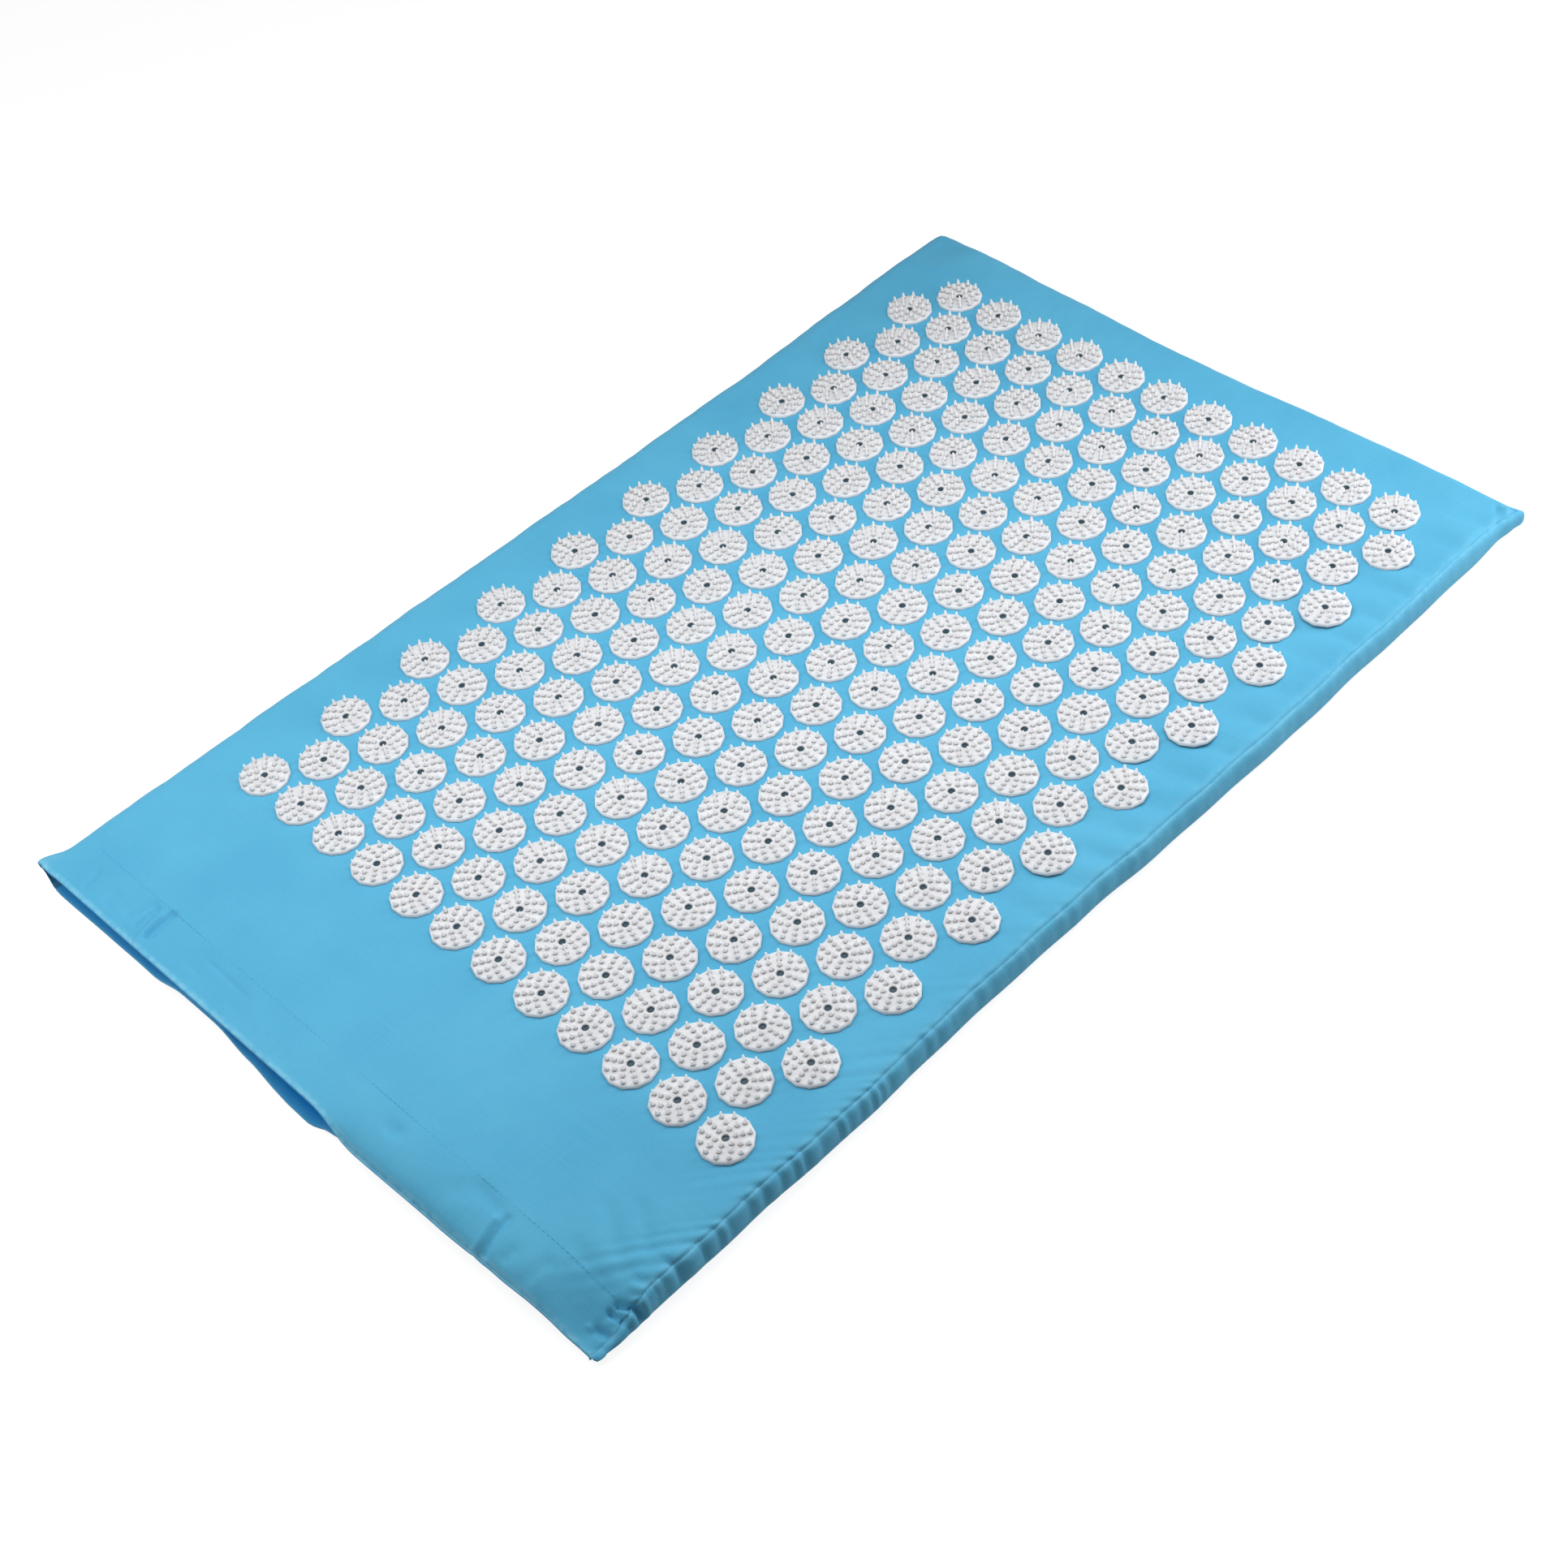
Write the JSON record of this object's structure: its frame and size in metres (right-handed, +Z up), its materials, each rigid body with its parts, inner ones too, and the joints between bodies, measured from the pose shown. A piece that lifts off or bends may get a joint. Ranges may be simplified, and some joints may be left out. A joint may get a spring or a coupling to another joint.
{
  "type": "acupressure mat",
  "caption": "Flat cotton-covered foam mat with staggered rows of spiked plastic discs on top, and an open hemmed end through which the foam core slides out for washing.",
  "frame": {"origin": "middle of the underside, on the surface that the mat lies on", "axes": "+X along the mat from its open short end (the mouth) to its far end, +Y to the left long side seen from the mouth, +Z up through the discs"},
  "size_m": [0.68, 0.426, 0.0265],
  "materials": {
    "cover_cloth": "plain-woven cotton, sky blue, matt",
    "disc_plastic": "moulded white plastic, satin",
    "foam": "open-cell foam, off-white",
    "hook_tape": "woven tape with small hooks, blue",
    "loop_tape": "brushed loop tape, blue"
  },
  "bodies": {
    "cover": {"upper_panel": "cover_cloth", "lower_panel": "cover_cloth", "left_side_wall": "cover_cloth", "right_side_wall": "cover_cloth", "far_end_wall": "cover_cloth", "mouth_upper_hem": "cover_cloth", "mouth_lower_hem": "cover_cloth", "disc_r01_c01": "disc_plastic", "disc_r01_c02": "disc_plastic", "disc_r01_c03": "disc_plastic", "disc_r01_c04": "disc_plastic", "disc_r01_c05": "disc_plastic", "disc_r01_c06": "disc_plastic", "disc_r01_c07": "disc_plastic", "disc_r01_c08": "disc_plastic", "disc_r01_c09": "disc_plastic", "disc_r01_c10": "disc_plastic", "disc_r01_c11": "disc_plastic", "disc_r01_c12": "disc_plastic", "disc_r02_c01": "disc_plastic", "disc_r02_c02": "disc_plastic", "disc_r02_c03": "disc_plastic", "disc_r02_c04": "disc_plastic", "disc_r02_c05": "disc_plastic", "disc_r02_c06": "disc_plastic", "disc_r02_c07": "disc_plastic", "disc_r02_c08": "disc_plastic", "disc_r02_c09": "disc_plastic", "disc_r02_c10": "disc_plastic", "disc_r02_c11": "disc_plastic", "hook_patch_1": "hook_tape", "hook_patch_2": "hook_tape", "hook_patch_3": "hook_tape", "loop_patch_1": "loop_tape", "loop_patch_2": "loop_tape", "loop_patch_3": "loop_tape"},
    "core": {"foam_core": "foam"}
  },
  "joints": [
    {"name": "core_slide", "type": "slide", "parent": "cover", "child": "core", "axis": [-1, 0, 0], "range_m": [0, 0.69], "deforming": ["mouth_upper_hem", "mouth_lower_hem", "hook_patch_1", "hook_patch_2", "hook_patch_3", "loop_patch_1", "loop_patch_2", "loop_patch_3"]}
  ]
}
